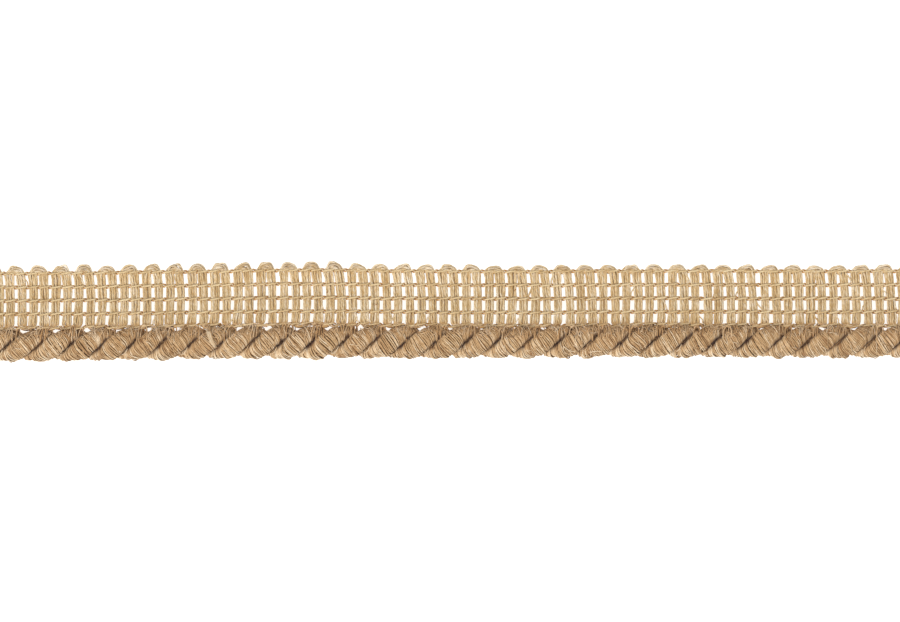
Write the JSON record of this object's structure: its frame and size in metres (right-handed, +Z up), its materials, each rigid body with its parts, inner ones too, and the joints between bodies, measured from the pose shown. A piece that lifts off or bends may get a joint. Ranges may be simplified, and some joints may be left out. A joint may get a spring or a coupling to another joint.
{
  "type": "decorative cord with sewing lip",
  "caption": "Twisted cord wrapped in thread, with a scalloped openwork lip for sewing it into a seam: a cut length that lies flat, for trimming cushions and upholstery.",
  "frame": {"origin": "on the resting surface, under the middle of the bounding box", "axes": "+X along the cord, +Y across it from the cord towards the lip's scalloped edge, +Z up from the resting surface"},
  "size_m": [0.2102, 0.022, 0.0072],
  "materials": {
    "cord_gimp": "matt mid-brown cotton thread wound closely round each ply",
    "lip_yarn": "matt beige cotton yarn in an open weave"
  },
  "bodies": {
    "root": {"strand_1": "cord_gimp", "strand_2": "cord_gimp", "lip_tape": "lip_yarn"}
  },
  "joints": []
}
